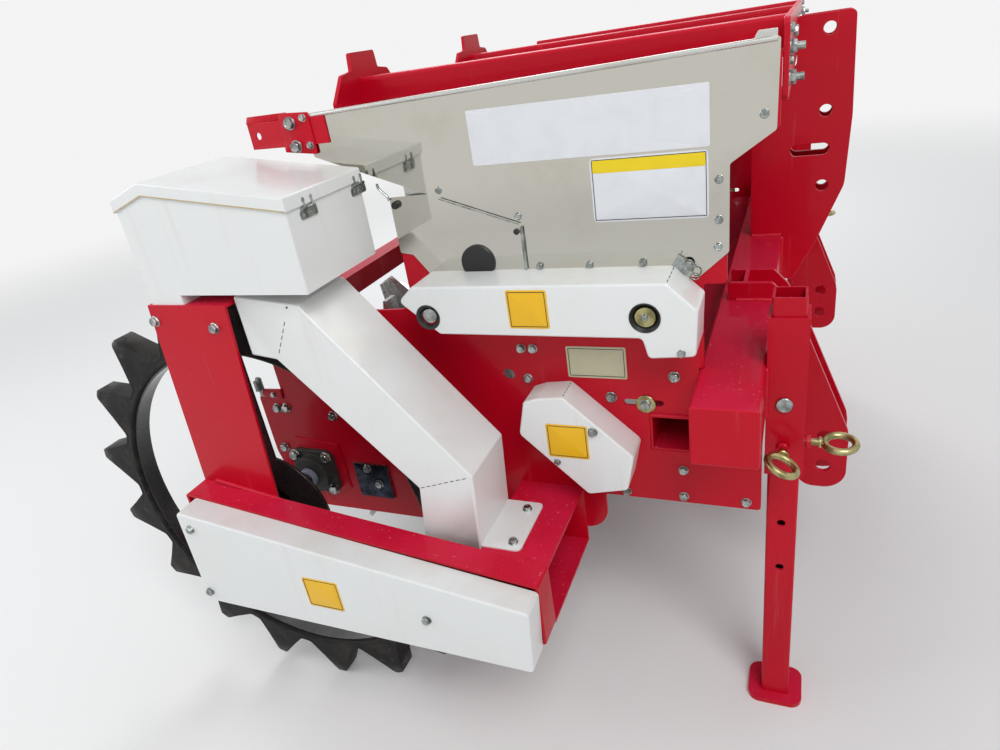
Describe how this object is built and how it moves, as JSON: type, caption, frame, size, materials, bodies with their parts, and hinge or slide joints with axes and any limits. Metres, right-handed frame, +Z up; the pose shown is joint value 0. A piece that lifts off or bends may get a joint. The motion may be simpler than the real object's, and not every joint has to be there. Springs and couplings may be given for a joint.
{
  "type": "tractor-mounted garlic planter",
  "caption": "Tractor-mounted garlic planter with rubber-lugged ground wheels, seed hopper, planting drum, chain covers and parking legs.",
  "frame": {"origin": "on the floor under the middle of the machine, halfway along and across it", "axes": "+X forward to the tractor, +Y to the machine's left, +Z up"},
  "size_m": [1.5413, 2.14, 1.282],
  "materials": {
    "red_paint": "gloss crimson paint on steel",
    "cream_paint": "semi-gloss off-white paint on sheet steel",
    "mirror_steel": "mirror-polished stainless sheet",
    "stainless": "brushed stainless sheet",
    "rubber": "matt moulded rubber",
    "black_paint": "black enamel on pressed steel",
    "bearing_iron": "black-coated cast iron",
    "zinc_steel": "bright zinc plate",
    "drum_steel": "galvanised steel, worn bright at the beaks",
    "grey_plastic": "grey moulded plastic"
  },
  "bodies": {
    "chassis": {"front_beam": "red_paint", "mast_plate_right": "red_paint", "mast_plate_left": "red_paint", "mast_spacer": "red_paint", "middle_tube": "red_paint", "rear_tube": "red_paint", "head_plate": "red_paint", "top_rail_right": "red_paint", "top_rail_centre": "red_paint", "top_rail_left": "red_paint", "lower_clevis_right": "red_paint", "lower_clevis_left": "red_paint", "stand_sleeve_right": "red_paint", "stand_sleeve_left": "red_paint", "side_plate_right": "red_paint", "side_plate_left": "red_paint", "rear_bracket_right": "red_paint", "rear_bracket_left": "red_paint", "wheel_frame_right": "red_paint", "wheel_frame_left": "red_paint", "box_post_right": "red_paint", "box_post_left": "red_paint", "outer_chain_cover_right": "cream_paint", "outer_chain_cover_left": "cream_paint", "upper_chain_cover_right": "cream_paint", "upper_chain_cover_left": "cream_paint", "small_chain_cover_right": "cream_paint", "small_chain_cover_left": "cream_paint", "wheel_guard_right": "cream_paint", "wheel_guard_left": "cream_paint", "storage_box_right": "cream_paint", "storage_box_left": "cream_paint", "hopper_side_right": "mirror_steel", "hopper_side_left": "mirror_steel", "hopper_rear_sheet": "stainless", "hopper_front_sheet": "stainless", "hopper_floor": "stainless", "hopper_end_right": "stainless", "hopper_end_left": "stainless", "axle_bearing_right": "bearing_iron", "axle_bearing_left": "bearing_iron", "metering_shaft": "zinc_steel", "agitator_shaft": "zinc_steel", "drum_axle": "zinc_steel", "metering_units": "grey_plastic"},
    "leg_right": {"stand_leg_right": "red_paint"},
    "leg_left": {"stand_leg_left": "red_paint"},
    "wheel_right": {"wheel_tyre_right": "rubber", "wheel_disc_right": "black_paint"},
    "wheel_left": {"wheel_tyre_left": "rubber", "wheel_disc_left": "black_paint"},
    "drum": {"planting_drum": "drum_steel"},
    "lid_right": {"box_lid_right": "cream_paint"},
    "lid_left": {"box_lid_left": "cream_paint"}
  },
  "joints": [
    {"name": "stand_right_slide", "type": "slide", "parent": "chassis", "child": "leg_right", "axis": [0, 0, 1], "range_m": [0, 0.24]},
    {"name": "wheel_right_spin", "type": "hinge", "parent": "chassis", "child": "wheel_right", "pos_m": [-0.31052, -0.886, 0.46448], "axis": [0, 1, 0], "continuous": true},
    {"name": "lid_right_hinge", "type": "hinge", "parent": "chassis", "child": "lid_right", "pos_m": [-0.0145, -0.865, 1.087], "axis": [0, 1, 0], "range_deg": [0, 100]},
    {"name": "stand_left_slide", "type": "slide", "parent": "chassis", "child": "leg_left", "axis": [0, 0, 1], "range_m": [0, 0.24]},
    {"name": "wheel_left_spin", "type": "hinge", "parent": "chassis", "child": "wheel_left", "pos_m": [-0.31052, 0.886, 0.46448], "axis": [0, 1, 0], "continuous": true},
    {"name": "lid_left_hinge", "type": "hinge", "parent": "chassis", "child": "lid_left", "pos_m": [-0.0145, 0.865, 1.087], "axis": [0, 1, 0], "range_deg": [0, 100]},
    {"name": "drum_spin", "type": "hinge", "parent": "chassis", "child": "drum", "pos_m": [-0.16552, 0, 0.45], "axis": [0, 1, 0], "continuous": true}
  ]
}
